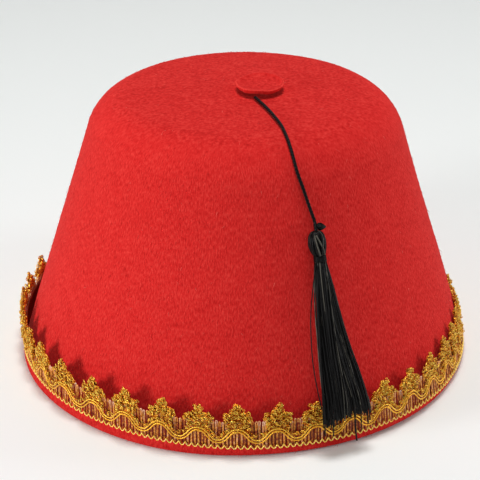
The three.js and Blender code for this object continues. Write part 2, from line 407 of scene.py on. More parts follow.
def tubes(paths, radius, sides, across, tint=0.5):
    """Round tubes along many paths at once. A ring's point is the path's point plus the radius times
    (cos a of b + sin a of c), where b stands square to the path and to the direction `across`, and c
    square to both. Both ends are closed. Texture coordinates are metres round and along the tube. The
    tint is one for all, or one for each path, or one for each point of each path."""
    paths = np.asarray(paths, float)
    number, length = paths.shape[:2]
    along = unit(np.gradient(paths, axis=1))
    b = unit(np.cross(along, np.broadcast_to(across, paths.shape)))
    c = np.cross(b, along)
    radius = np.broadcast_to(np.asarray(radius, float), (number, length))
    angle = TURN * np.arange(sides) / sides
    spoke = np.cos(angle)[:, None] * b[:, :, None] + np.sin(angle)[:, None] * c[:, :, None]
    points = paths[:, :, None] + radius[:, :, None, None] * spoke
    p, i, j = np.meshgrid(np.arange(number), np.arange(length - 1), np.arange(sides), indexing="ij")
    ring = (p * length + i) * sides
    after = (j + 1) % sides
    quads = np.stack([ring + j, ring + sides + j, ring + sides + after, ring + after], -1)
    step = np.linalg.norm(np.diff(paths, axis=1), axis=2)
    run = np.concatenate([np.zeros((number, 1)), np.cumsum(step, axis=1)], axis=1)
    run += np.arange(number)[:, None] * math.sqrt(2) * 10 * MM
    width = TURN * radius.mean() / sides
    low, high = run[p, i], run[p, i + 1]
    corners = [(j * width, low), (j * width, high), ((j + 1) * width, high), ((j + 1) * width, low)]
    quad_uvs = np.stack([np.stack(corner, -1) for corner in corners], -2)
    fan = np.arange(1, sides - 1)
    first = (np.arange(number) * length * sides)[:, None]
    last = first + (length - 1) * sides
    hub = np.zeros_like(fan)
    caps = np.concatenate(
        [
            np.stack([first + hub, first + fan, first + fan + 1], -1).reshape(-1, 3),
            np.stack([last + hub, last + fan + 1, last + fan], -1).reshape(-1, 3),
        ]
    )
    cap_angle = angle[(caps % sides)]
    cap_uvs = radius.mean() * np.stack([np.cos(cap_angle), np.sin(cap_angle)], -1)
    tints = np.atleast_2d(np.asarray(tint, float).T).T
    tints = np.repeat(np.broadcast_to(tints, (number, length)), sides, axis=1)
    return {
        "points": points.reshape(-1, 3),
        "quads": quads.reshape(-1, 4),
        "quad_uvs": quad_uvs.reshape(-1, 4, 2),
        "triangles": caps,
        "triangle_uvs": cap_uvs,
        "tint": tints.ravel(),
    }


def closed_shell(rings, first, last, breadth, tint=0.5):
    """A closed skin through rings of points, a grid of rows by columns, whose first and last rows
    close on the points `first` and `last`. Texture coordinates are metres: `breadth` round each ring,
    and the mean length walked from the first row."""
    rows, columns = rings.shape[:2]
    i, j = np.meshgrid(np.arange(rows - 1), np.arange(columns), indexing="ij")
    after = (j + 1) % columns
    quads = np.stack(
        [i * columns + j, i * columns + after, (i + 1) * columns + after, (i + 1) * columns + j], -1
    )
    step = np.linalg.norm(np.diff(rings, axis=0), axis=2).mean(1)
    run = np.concatenate([[0], np.cumsum(step)])
    u, u_after = j * breadth / columns, (j + 1) * breadth / columns
    corners = [(u, run[i]), (u_after, run[i]), (u_after, run[i + 1]), (u, run[i + 1])]
    quad_uvs = np.stack([np.stack(corner, -1) for corner in corners], -2)
    column = np.arange(columns)
    following = (column + 1) % columns
    pole = np.full(columns, rows * columns)
    top = (rows - 1) * columns
    triangles = np.concatenate(
        [
            np.stack([pole, following, column], -1),
            np.stack([top + column, top + following, pole + 1], -1),
        ]
    )
    u = column * breadth / columns
    u_after = (column + 1) * breadth / columns
    end = np.full(columns, run[-1])
    start = np.zeros(columns)
    triangle_uvs = np.concatenate(
        [
            np.stack([np.stack([u, start], -1), np.stack([u_after, start], -1), np.stack([u, start], -1)], 1),
            np.stack([np.stack([u, end], -1), np.stack([u_after, end], -1), np.stack([u, end], -1)], 1),
        ]
    )
    points = np.concatenate([rings.reshape(-1, 3), [first, last]])
    return {
        "points": points,
        "quads": quads.reshape(-1, 4),
        "quad_uvs": quad_uvs.reshape(-1, 4, 2),
        "triangles": triangles,
        "triangle_uvs": triangle_uvs,
        "tint": np.full(len(points), float(tint)),
    }


def joined(*surfaces):
    """Several surfaces as one, with their point numbers moved up."""
    starts = np.cumsum([0] + [len(s["points"]) for s in surfaces])
    whole = {}
    for key in ("points", "quad_uvs", "triangle_uvs", "tint"):
        whole[key] = np.concatenate([s[key] for s in surfaces])
    for key in ("quads", "triangles"):
        whole[key] = np.concatenate([s[key] + start for s, start in zip(surfaces, starts)])
    return whole


def make_piece(name, surface, material, slot, *nodes):
    """A smooth-shaded mesh object with its texture coordinates and its tint, which stands for the
    named nodes and rides on the hat's one body."""
    quads, triangles = surface["quads"], surface["triangles"]
    corners = np.concatenate([quads.ravel(), triangles.ravel()]).astype(np.int32)
    starts = np.concatenate(
        [np.arange(len(quads)) * 4, quads.size + np.arange(len(triangles)) * 3]
    ).astype(np.int32)
    mesh = bpy.data.meshes.new(name)
    mesh.vertices.add(len(surface["points"]))
    mesh.vertices.foreach_set("co", surface["points"].astype(np.float32).ravel())
    mesh.loops.add(len(corners))
    mesh.loops.foreach_set("vertex_index", corners)
    mesh.polygons.add(len(starts))
    mesh.polygons.foreach_set("loop_start", starts)
    mesh.update(calc_edges=True)
    uvs = np.concatenate([surface["quad_uvs"].reshape(-1, 2), surface["triangle_uvs"].reshape(-1, 2)])
    layer = mesh.uv_layers.new(name="surface")
    layer.uv.foreach_set("vector", uvs.astype(np.float32).ravel())
    tint = mesh.attributes.new("tint", "FLOAT", "POINT")
    tint.data.foreach_set("value", surface["tint"].astype(np.float32))
    mesh.shade_smooth()
    mesh.materials.append(material)
    piece = bpy.data.objects.new(name, mesh)
    bpy.context.scene.collection.objects.link(piece)
    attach(piece, "root")
    if nodes:
        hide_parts(*nodes)
    return piece


# ---- Materials ----


def add(tree, kind, values=None, links=None, stops=None, **settings):
    """A new shader node with its settings, the values of its inputs, what feeds its inputs (an output,
    or a node for its first one) and, on a colour ramp, its stops."""
    node = tree.nodes.new("ShaderNode" + kind)
    for name, value in settings.items():
        setattr(node, name, value)
    for name, value in (values or {}).items():
        node.inputs[name].default_value = value
    for name, feed in (links or {}).items():
        output = feed.outputs[0] if isinstance(feed, bpy.types.Node) else feed
        tree.links.new(output, node.inputs[name])
    for k, (place, shade) in enumerate(stops or ()):
        ramp = node.color_ramp.elements
        element = ramp[k] if k < len(ramp) else ramp.new(place)
        element.position = place
        element.color = shade
    return node


def new_material(name):
    """An empty node material and its tree."""
    material = bpy.data.materials.new(name)
    material.use_nodes = True
    material.node_tree.nodes.clear()
    return material, material.node_tree


def pressed_felt(sizes):
    """Wool-like felt, pressed and brushed: dull, with a short nap that is combed down the wall and
    lies every way on the top, so the wall shows fine upright streaks and the top a grain. Wool is too
    fine to show, so the streaks are drawn 0.7 mm apart and the grain 1.3 mm. The colour follows the
    nap's relief, with painted shade deep red in its grooves and a painted highlight light red on its
    tips, over the felt's own slow mottling. The tint is 1 on the wall and 0 on the top, and above 1
    where a painted highlight lightens a cut edge."""
    material, tree = new_material("pressed_felt")
    place = add(tree, "TexCoord")
    combed = add(tree, "Mapping", {"Scale": (1, 0.4, 1)}, {"Vector": place.outputs["UV"]})
    streaks = add(
        tree,
        "TexNoise",
        {"Scale": 1 / (0.7 * MM), "Detail": 3, "Roughness": 0.6},
        {"Vector": combed},
    )
    grain = add(
        tree,
        "TexNoise",
        {"Scale": 1 / (1.3 * MM), "Detail": 4, "Roughness": 0.6},
        {"Vector": place.outputs["Object"]},
    )
    clouds = add(
        tree,
        "TexNoise",
        {"Scale": 1 / (6 * MM), "Detail": 3, "Roughness": 0.6},
        {"Vector": place.outputs["Object"]},
    )
    own = add(tree, "Attribute", attribute_name="tint")
    wall = add(tree, "Clamp", links={"Value": own.outputs["Fac"]})
    # Tint above 1 pushes the ramp lighter: the painted highlight on the button's cut edge.
    rubbed = add(tree, "Math", {1: 1}, {0: own.outputs["Fac"]}, operation="SUBTRACT", use_clamp=True)
    nap = add(tree, "Mix", links={0: wall, 2: grain, 3: streaks}, data_type="FLOAT")
    shade = add(tree, "Math", {1: 0.22}, {0: clouds, 2: nap}, operation="MULTIPLY_ADD")
    worn = add(tree, "Math", {1: 0.35}, {0: rubbed, 2: shade}, operation="MULTIPLY_ADD")
    dyed = add(
        tree,
        "ValToRGB",
        links={"Fac": worn},
        stops=((0.42, sizes.deep_red), (0.61, sizes.red), (0.8, sizes.light_red)),
    )
    relief = add(tree, "Bump", {"Strength": 0.6, "Distance": 0.35 * MM}, {"Height": nap})
    shader = add(
        tree,
        "BsdfPrincipled",
        {
            "Roughness": 1,
            "Specular IOR Level": 0.04,
            "Sheen Weight": 0.05,
            "Sheen Roughness": 0.5,
            "Sheen Tint": (1, 0.4, 0.35, 1),
        },
        {"Base Color": dyed, "Normal": relief},
    )
    add(tree, "OutputMaterial", links={"Surface": shader})
    return material


def loose_wool(sizes):
    """Single fibres that stand out of the felt: each catches the light a little differently."""
    material, tree = new_material("loose_wool_fibre")
    own = add(tree, "Attribute", attribute_name="tint")
    dyed = add(
        tree,
        "ValToRGB",
        links={"Fac": own.outputs["Fac"]},
        stops=((0, sizes.deep_red), (0.5, sizes.red), (0.95, sizes.light_red), (1, linear("F08A7C"))),
    )
    shader = add(
        tree,
        "BsdfPrincipled",
        {"Roughness": 0.9, "Specular IOR Level": 0.1},
        {"Base Color": dyed},
    )
    add(tree, "OutputMaterial", links={"Surface": shader})
    return material


def metallic_yarn(name, stops, roughness, twist, glint_and_shade):
    """Foil strip wound round a cotton core and twisted: a bright metal broken into short glints by
    the turns of the foil, with the coloured core between them, so it is only part metal. Its colour
    wanders in patches from dark to bright: painted shade and painted glints. The last argument sets
    how far it wanders. The patches are drawn 0.65 mm across, about as fine as shows."""
    material, tree = new_material(name)
    place = add(tree, "TexCoord")
    own = add(tree, "Attribute", attribute_name="tint")
    turned = add(tree, "Mapping", {"Rotation": (0, 0, 35 * DEGREE)}, {"Vector": place.outputs["UV"]})
    foil = add(
        tree,
        "TexWave",
        {"Scale": 0.314 / twist, "Distortion": 1.5, "Detail": 1},
        {"Vector": turned},
        bands_direction="Y",
    )
    # Noise patches that paint glints and shade into the yarn's colour.
    patches = add(
        tree,
        "TexNoise",
        {"Scale": 1 / (0.65 * MM), "Detail": 2, "Roughness": 0.5},
        {"Vector": place.outputs["Object"]},
    )
    centred = add(tree, "Math", {1: 0.5}, {0: patches}, operation="SUBTRACT")
    mixed = add(tree, "Math", {1: glint_and_shade}, {0: centred, 2: own.outputs["Fac"]}, operation="MULTIPLY_ADD")
    plated = add(tree, "ValToRGB", links={"Fac": mixed}, stops=stops)
    relief = add(
        tree,
        "Bump",
        {"Strength": 0.5, "Distance": 0.12 * MM},
        {"Height": foil.outputs["Fac"]},
    )
    shader = add(
        tree,
        "BsdfPrincipled",
        {"Metallic": 0.45, "Roughness": roughness, "Specular IOR Level": 0.2},
        {"Base Color": plated, "Normal": relief},
    )
    add(tree, "OutputMaterial", links={"Surface": shader})
    return material


def dull_thread(sizes):
    """Thin threads of the open band, part cotton and part foil, each of its own shade from copper to
    gold, in patches along it, and paler where it turns over at the top: part metal, with a soft
    sheen. Its plies are too fine to show, so they are drawn 0.4 mm apart."""
    material, tree = new_material("woven_cotton_thread")
    own = add(tree, "Attribute", attribute_name="tint")
    place = add(tree, "TexCoord")
    plies = add(
        tree,
        "TexNoise",
        {"Scale": 1 / (0.4 * MM), "Detail": 2},
        {"Vector": place.outputs["UV"]},
    )
    patches = add(
        tree,
        "TexNoise",
        {"Scale": 1 / (0.9 * MM), "Detail": 2},
        {"Vector": place.outputs["Object"]},
    )
    centred = add(tree, "Math", {1: 0.5}, {0: patches}, operation="SUBTRACT")
    mixed = add(tree, "Math", {1: 1.3}, {0: centred, 2: own.outputs["Fac"]}, operation="MULTIPLY_ADD")
    dyed = add(tree, "ValToRGB", links={"Fac": mixed}, stops=thread_stops(sizes))
    relief = add(tree, "Bump", {"Strength": 0.5, "Distance": 0.1 * MM}, {"Height": plies})
    shader = add(
        tree,
        "BsdfPrincipled",
        {"Roughness": 0.4, "Metallic": 0.2},
        {"Base Color": dyed, "Normal": relief},
    )
    add(tree, "OutputMaterial", links={"Surface": shader})
    return material


def twisted_rayon(sizes):
    """Black rayon thread, drawn smooth and twisted: near black, with thin grey glints painted along it.
    Its filaments are too fine to show, so the glints are drawn half a millimetre apart."""
    material, tree = new_material("twisted_rayon")
    place = add(tree, "TexCoord")
    drawn = add(tree, "Mapping", {"Scale": (1, 0.1, 1)}, {"Vector": place.outputs["UV"]})
    filaments = add(tree, "TexNoise", {"Scale": 1 / (0.5 * MM), "Detail": 2}, {"Vector": drawn})
    own = add(tree, "Attribute", attribute_name="tint")
    mixed = add(tree, "Math", {1: 0.5}, {0: filaments, 2: own.outputs["Fac"]}, operation="MULTIPLY_ADD")
    # Above 0.9 the ramp paints grey and then glint: painted highlights.
    dyed = add(
        tree,
        "ValToRGB",
        links={"Fac": mixed},
        stops=((0.9, sizes.black), (1.0, sizes.grey), (1.0, sizes.glint)),
    )
    relief = add(tree, "Bump", {"Strength": 0.5, "Distance": 0.08 * MM}, {"Height": filaments})
    shader = add(
        tree,
        "BsdfPrincipled",
        {"Roughness": 0.45, "Specular IOR Level": 0.13},
        {"Base Color": dyed, "Normal": relief},
    )
    add(tree, "OutputMaterial", links={"Surface": shader})
    return material


def matte_board(sizes):
    """Painted board: nearly white and quite dull, with a barely visible tooth."""
    material, tree = new_material("matte_board")
    place = add(tree, "TexCoord")
    tooth = add(
        tree,
        "TexNoise",
        {"Scale": 1 / (2 * MM), "Detail": 2},
        {"Vector": place.outputs["Object"]},
    )
    relief = add(tree, "Bump", {"Strength": 0.05, "Distance": 0.1 * MM}, {"Height": tooth})
    shader = add(
        tree,
        "BsdfPrincipled",
        {"Base Color": sizes.floor, "Roughness": 0.75, "Specular IOR Level": 0.25},
        {"Normal": relief},
    )
    add(tree, "OutputMaterial", links={"Surface": shader})
    return material


# ---- Crown ----


def crown_profile(sizes, inset, steps):
    """Outline (radius, height) of the felt's face that lies `inset` inside the outer one, from just
    above the rim to just short of the axis: a straight wall, a round shoulder tangent to it, and a low
    dome tangent to the shoulder. All the faces share the same two centres."""
    wall_steps, shoulder_steps, dome_steps = steps
    lean, slope = sizes.wall_lean, sizes.dome_slope
    rise = math.tan(slope / 2)
    reach = sizes.rim_radius * math.cos(lean) - (sizes.height - sizes.shoulder) * math.sin(lean)
    centre_r = (reach - sizes.shoulder) / (math.cos(lean) - rise * math.sin(lean))
    centre_z = sizes.height - sizes.shoulder - centre_r * rise
    dome_radius = sizes.shoulder + centre_r / math.sin(slope) - inset
    dome_centre = centre_z - centre_r / math.tan(slope)
    radius = sizes.shoulder - inset
    angle = np.linspace(lean, math.pi / 2 - slope, shoulder_steps)
    shoulder = np.stack([centre_r + radius * np.cos(angle), centre_z + radius * np.sin(angle)], -1)
    rim = np.array([sizes.rim_radius - inset / math.cos(lean), 0])
    share = np.linspace(0, 1, wall_steps, endpoint=False)[:, None]
    wall = rim + share * (shoulder[0] - rim)
    angle = slope * (1 - np.arange(1, dome_steps) / dome_steps)
    dome = np.stack([dome_radius * np.sin(angle), dome_centre + dome_radius * np.cos(angle)], -1)
    return np.concatenate([wall, shoulder, dome])


def unevenness(sizes, angle, height):
    """Waves of the felt's surface: the set amount times a sum of cosines of the angle round the hat,
    each turned with the height and with its own share."""
    waves = np.zeros(np.broadcast(angle, height).shape)
    for number, drift, start, share in FELT_WAVES:
        waves = waves + share * np.cos(number * angle + drift * height / sizes.height + start)
    return sizes.unevenness * waves


def bump(angle, middle, width):
    """A flat-topped rise of the angle round the hat: exp(-((angle - middle) / width)^4), with the
    difference taken the short way round."""
    apart = (angle - middle + math.pi) % TURN - math.pi
    return np.exp(-((apart / width) ** 4))


def rim_shift(sizes, angle, height):
    """How far the felt near the rim stands out from its cone, and up. Each is a bump of the angle
    and fades up the wall as (1 - height / reach)^2. On the right it is pressed in instead."""
    out = sizes.rim_flare * bump(angle, *FLARE_PLACE)
    out = out - sizes.rim_tuck * bump(angle, *RIGHT_SIDE)
    up = sizes.rim_lift * bump(angle, *LIFT_PLACE)
    fade_out = np.clip(1 - height / (24 * MM), 0, 1) ** 2
    fade_up = np.clip(1 - height / (34 * MM), 0, 1) ** 2
    return out * fade_out, up * fade_up


def make_crown(sizes):
    """A closed shell turned about the hat's axis: down the inner face, round the rim's softened edge
    and up the outer face. Both faces carry the same slow waves."""
    columns = 320
    outer = crown_profile(sizes, 0, (70, 30, 44))
    inner = crown_profile(sizes, sizes.felt, (30, 12, 16))
    soft = 0.6 * MM
    corner = np.linspace(0, math.pi / 2, 4)[:-1]
    outer_foot = outer[0] + (0, soft) - (soft * math.tan(sizes.wall_lean), 0)
    inner_foot = inner[0] + (0, soft) - (soft * math.tan(sizes.wall_lean), 0)
    outer[0] = outer_foot
    inner[0] = inner_foot
    inner_turn = inner_foot + np.stack([soft * (1 - np.cos(corner)), -soft * np.sin(corner)], -1)
    outer_turn = outer_foot - np.stack([soft * (1 - np.cos(corner)), soft * np.sin(corner)], -1)
    foot = np.linspace(inner_foot[0] + soft, outer_foot[0] - soft, 3)
    foot = np.stack([foot, np.zeros(3)], -1)
    profile = np.concatenate([inner[:0:-1], inner_turn, foot, outer_turn[::-1][:-1], outer])
    angle = TURN * np.arange(columns) / columns + math.pi
    radius, height = profile[:, 0, None], profile[:, 1, None]
    slope = unit(np.gradient(profile, axis=0))
    out_r, out_z = slope[:, 1, None], -slope[:, 0, None]
    on_inner = np.arange(len(profile))[:, None] < len(inner)
    fade = np.clip(height / (8 * MM), 0, 1) * np.clip(radius / (25 * MM), 0, 1)
    push = unevenness(sizes, angle[None, :], height) * fade * np.where(on_inner, -1, 1)
    flare, lift = rim_shift(sizes, angle[None, :], height)
    r = radius + push * out_r + flare
    z = height + push * out_z + lift
    rings = np.stack([r * np.sin(angle), -r * np.cos(angle), z], -1)
    surface = closed_shell(
        rings,
        (0, 0, sizes.height - sizes.felt),
        (0, 0, sizes.height),
        TURN * sizes.rim_radius,
    )
    wall = np.clip((np.abs(out_r) - 0.35) / 0.45, 0, 1)
    surface["tint"] = np.concatenate([np.broadcast_to(wall, r.shape).ravel(), [0, 0]])
    return make_piece("felt_crown", surface, pressed_felt(sizes), "red_felt", "crown")


def make_fibres(sizes):
    """Short bent fibres, each a three-sided tube through three points: its root on the outer face, its
    middle and its tip, which lift off the face. On the wall they are combed down it, and on the top
    they lie every way. Roots are spread evenly over the area."""
    rng = np.random.default_rng(11)
    profile = crown_profile(sizes, 0, (70, 30, 44))
    step = np.diff(profile, axis=0)
    middle = (profile[1:] + profile[:-1]) / 2
    share = np.cumsum(middle[:, 0] * np.linalg.norm(step, axis=1))
    row = np.searchsorted(share / share[-1], rng.random(sizes.fibres))
    here = profile[row] + rng.random((sizes.fibres, 1)) * step[row]
    up = unit(step[row])
    angle = TURN * rng.random(sizes.fibres)
    sine, cosine = np.sin(angle), np.cos(angle)
    outward = np.stack([sine, -cosine, np.zeros_like(sine)], -1)
    sideways = np.stack([cosine, sine, np.zeros_like(sine)], -1)
    climb = up[:, :1] * outward + up[:, 1:] * (0, 0, 1)
    normal = up[:, 1:] * outward - up[:, :1] * (0, 0, 1)
    push = unevenness(sizes, angle, here[:, 1])[:, None]
    flare, lift = rim_shift(sizes, angle, here[:, 1])
    shift = flare[:, None] * outward + lift[:, None] * (0, 0, 1)
    root = here[:, :1] * outward + here[:, 1:] * (0, 0, 1) + push * normal + shift
    wall = np.clip((up[:, 1] - 0.35) / 0.45, 0, 1)
    combed = rng.normal(0, 0.5, sizes.fibres)
    heading = np.where(rng.random(sizes.fibres) < wall, combed, TURN * rng.random(sizes.fibres))
    length = sizes.fibre_length * (0.3 + 0.7 * rng.random(sizes.fibres))[:, None]
    lift = length * (0.03 + 0.3 * rng.random((sizes.fibres, 1)) ** 4)
    bend = rng.normal(0, 0.35, sizes.fibres)
    first = np.cos(heading)[:, None] * -climb + np.sin(heading)[:, None] * sideways
    second = np.cos(heading + bend)[:, None] * -climb + np.sin(heading + bend)[:, None] * sideways
    knee = root + length * first / 2 + lift * normal
    tip = knee + length * second / 2 + lift * normal * 0.4
    paths = np.stack([root - 0.03 * MM * normal, knee, tip], 1)
    paths[..., 2] = np.maximum(paths[..., 2], 0.2 * MM)
    radius = sizes.fibre_width / 2 * np.array([1, 1, 0.4])
    surface = tubes(paths, radius, 3, normal[:, None], tint=rng.random(sizes.fibres))
    return make_piece("felt_fibres", surface, loose_wool(sizes), "red_felt", "crown")


def make_button(sizes):
    """A cut felt disc turned about its own axis, drawn down in the middle by its stitch, so its edge
    stands up in a soft rim and its side slants in underneath. It tilts a little to the front, and
    lifts there over the cord."""
    columns = 120
    centre = (BUTTON_LOW + BUTTON_HIGH) / 2
    disc = (BUTTON_HIGH.x - BUTTON_LOW.x) / 2
    thick = BUTTON_HIGH.z - BUTTON_LOW.z - sizes.button_dish
    soft = 0.5 * MM
    angle = TURN * np.arange(columns) / columns
    turning = np.linspace(0, math.pi / 2, 5)
    out = np.linspace(0, 1, 21)[1:, None] * (disc - soft)
    edge_low = disc - soft + soft * np.sin(turning[1:, None])
    edge_high = disc - soft + soft * np.cos(turning[:-1, None])
    lower = soft * (1 - np.cos(turning[1:, None]))
    upper = thick - soft * (1 - np.sin(turning[:-1, None]))
    radius = np.concatenate([out, edge_low, edge_high, out[::-1]])
    level = np.concatenate([out * 0, lower, upper, out * 0 + thick])
    share = radius / disc
    wander = 0.25 * np.cos(2 * angle + 1) + 0.18 * np.cos(5 * angle + 2) + 0.1 * np.cos(11 * angle)
    sway = 0.12 * np.cos(2 * angle + 0.6) + 0.1 * np.cos(3 * angle + 4) + 0.05 * np.cos(7 * angle)
    dish = 1.25 * sizes.button_dish * np.clip((share - 0.3) / 0.7, 0, 1) ** 2
    above = level > thick / 2
    slant = 0.9 * MM * np.clip(1 - level / thick, 0, 1)
    rim = 0.35 * MM * np.exp(-(((share - 0.92) / 0.06) ** 2)) * above
    over_cord = 0.6 * MM * bump(angle, *OVER_CORD_PLACE) * share**3
    r = radius + (wander * MM - slant) * share
    tilt = -sizes.button_tilt * share * np.cos(angle)
    low = np.where(above, 0, 0.3 * MM * share**2)
    z = BUTTON_LOW.z + 0.25 * MM + level + dish + rim + sway * MM * share**2 + tilt + over_cord + low
    rings = np.stack([centre.x + r * np.sin(angle), centre.y - r * np.cos(angle), z], -1)
    first = (centre.x, centre.y, BUTTON_LOW.z + 0.25 * MM)
    last = (centre.x, centre.y, rings[-1, :, 2].mean() - 0.05 * MM)
    surface = closed_shell(rings, first, last, TURN * disc, tint=0)
    # A painted highlight along the top of the button's edge, set in the tint above 1.
    rubbed = 1.7 * np.exp(-(((share - 0.96) / 0.05) ** 2)) * above
    surface["tint"] = np.concatenate([np.repeat(rubbed[:, 0], columns), [0, 0]])
    return make_piece("felt_button", surface, pressed_felt(sizes), "red_felt", "top_button")


# ---- Braid ----


def wrapped(sizes, crown, along, out, height):
    """Band coordinates carried round the hat. The angle is the distance along the band over its
    radius, and the band is stretched in places, by bumps of the angle. It rises on the front left and
    sinks a little on the right, and leans in on the right: by its lean times ((1 + cos(angle -
    middle)) / 2)^3, times the share of its height. It is drawn tight against the wall on both sides,
    and follows the rim where the felt flares and lifts."""
    angle, out, height = np.broadcast_arrays(sizes.offset + along / sizes.radius, out, height)
    stretch = np.zeros(angle.shape)
    for amount, middle, width in STRETCHES:
        stretch = stretch + amount * DEGREE * bump(angle, middle * DEGREE, width * DEGREE)
    angle = angle + stretch
    climb = np.clip((height - sizes.bottom) / sizes.whole_height, 0, 1.2)
    round_hat = ((1 + np.cos(angle - sizes.lean_middle)) / 2) ** 3
    right = bump(angle, *RIGHT_SIDE)
    left = bump(angle, *LEFT_SIDE)
    inward = sizes.lean * round_hat * climb + sizes.tuck * (right + left * (0.6 + 0.9 * climb))
    rise = sizes.rise * bump(angle, *RISE_PLACE) + sizes.least_rise
    rise = rise - 0.8 * MM * bump(angle, *SINK_PLACE)
    flare, lift = rim_shift(crown, angle, height)
    radius = sizes.radius + out - inward + 0.6 * np.maximum(flare, 0)
    height = height + rise * (1 - 0.5 * climb) + lift
    return np.stack([radius * np.sin(angle), -radius * np.cos(angle), height], -1)


def facing(sizes, along):
    """The direction out of the hat at a distance along the band."""
    angle = sizes.offset + np.asarray(along) / sizes.radius
    return np.stack([np.sin(angle), -np.cos(angle), np.zeros_like(angle)], -1)


def repeat(sizes):
    """Distance from one fleuron to the next."""
    return TURN * sizes.radius / sizes.fleurons


def make_ladder(sizes, crown):
    """The open band: upright loops of thread side by side. Each climbs one leg, turns over in a half
    circle at the top and comes down the other leg. Dark upright threads lie behind the gaps, their
    darkness painted shade in the gaps."""
    rng = np.random.default_rng(21)
    number = sizes.fleurons * sizes.ladders
    half = sizes.ladder_width / 2 * rng.uniform(0.8, 1.15, (number, 1))
    bottom = sizes.bottom + 0.5 * MM
    centre = np.arange(number) * TURN * sizes.radius / number + rng.normal(0, 0.09 * MM, number)
    top = sizes.top - sizes.ladder_width / 2 - sizes.ladder_yarn + rng.normal(0, 0.25 * MM, number)
    leg = np.linspace(0, 1, 7)[:-1]
    over = np.linspace(math.pi, 0, 7)
    across = np.concatenate([leg * 0 - 1, np.cos(over), leg * 0 + 1])
    climb = np.concatenate([leg, over * 0 + 1, leg[::-1]])
    arch = np.concatenate([leg * 0, np.sin(over), leg * 0])
    height = bottom + climb * (top[:, None] - bottom) + half * 1.5 * arch
    bow = 0.14 * MM * np.sin(climb * 3 + rng.random((number, 1)) * 6)
    along = centre[:, None] + half * across * (0.6 + 0.6 * climb**3) + bow
    out = -0.7 * MM + rng.normal(0, 0.12 * MM, (number, 1)) + 0.3 * MM * climb**6
    paths = wrapped(sizes, crown, along, out, height)
    tint = 0.12 + 0.42 * rng.random((number, 1)) + 0.3 * climb**12
    loops = tubes(paths, sizes.ladder_yarn, 6, facing(sizes, centre)[:, None], tint=tint)
    # Threads behind the gaps, tinted to the ramp's darkest stop: painted shade between the loops.
    between = centre + np.pi * sizes.radius / number
    rise = bottom + np.linspace(0, 0.96, 7) * (top[:, None] - bottom)
    paths = wrapped(sizes, crown, between[:, None], -1.1 * MM, rise)
    behind = tubes(paths, 0.36 * MM, 4, facing(sizes, between)[:, None], tint=-0.4)
    surface = joined(loops, behind)
    return make_piece("braid_ladder", surface, dull_thread(sizes), "gold_braid", "trim_braid")


def make_edge(sizes, crown):
    """The scalloped bottom edge: two plies twisted round each other, a helix about a path whose
    height hangs in half circles between narrow tops: 1 - |sin|^0.85 of the distance."""
    number = sizes.fleurons * sizes.scallops
    steps = number * 12
    share = np.linspace(0, 1, steps + 1)
    along = share * TURN * sizes.radius
    phase = share * number * TURN / 2
    low = sizes.bottom + 1.2 * sizes.edge_yarn
    height = low + sizes.scallop_height * (1 - np.abs(np.sin(phase)) ** 0.85)
    spin = share * number * 2 * TURN
    paths = []
    for start in (0, math.pi):
        swing = sizes.edge_yarn * 0.8 * np.sin(spin + start)
        lift = sizes.edge_yarn * 0.8 * np.cos(spin + start)
        paths.append(wrapped(sizes, crown, along, lift, height + swing))
    paths = np.stack(paths)
    surface = tubes(paths, sizes.edge_yarn, 6, facing(sizes, along)[None], tint=(0.5, 0.7))
    material = metallic_yarn("pale_metallic_yarn", edge_stops(sizes), 0.4, 0.5 * MM, 1.2)
    return make_piece("braid_edge", surface, material, "gold_braid", "trim_braid")


def thread_stops(sizes):
    """The ramp of the open band's thread, from copper brown through gold to pale cotton."""
    foil = (sizes.thread_brown, sizes.thread_copper, sizes.thread_gold)
    return tuple(zip((0, 0.22, 0.42, 0.62, 1), (*foil, sizes.thread_tan, sizes.thread_pale)))


def pale_stops(sizes):
    """The ramp of the brighter yarns."""
    return ((0.1, sizes.old_gold), (0.45, sizes.gold), (0.9, sizes.pale_gold))


def edge_stops(sizes):
    """The ramp of the cream-gold edge."""
    return ((0.1, sizes.gold), (0.5, sizes.pale_gold), (0.9, sizes.cream))


def wave_line(sizes, along):
    """Height of the wave's middle: sin x + 0.06 sin 3x of the distance along the band, with a crest
    under each fleuron."""
    phase = TURN * along / repeat(sizes) + math.pi / 2
    return sizes.wave_middle + sizes.wave_height * (np.sin(phase) + 0.06 * np.sin(3 * phase)) / 0.94


def make_wave(sizes, crown):
    """Two smooth cords side by side along the wave, each half the gap off its middle line, measured
    square to that line."""
    steps = sizes.fleurons * 44
    along = np.linspace(0, TURN * sizes.radius, steps + 1)
    height = wave_line(sizes, along)
    slope = np.gradient(height, along)
    lean = 1 / np.sqrt(1 + slope**2)
    paths = []
    for side in (-1, 1):
        shift = side * sizes.wave_gap / 2
        here = along - shift * slope * lean
        paths.append(wrapped(sizes, crown, here, 0.5 * MM, height + shift * lean))
    surface = tubes(np.stack(paths), sizes.wave_yarn, 8, facing(sizes, along)[None], tint=(0.62, 0.72))
    material = metallic_yarn("smooth_metallic_cord", pale_stops(sizes), 0.28, 0.6 * MM, 0.8)
    return make_piece("braid_wave", surface, material, "gold_braid", "trim_braid")


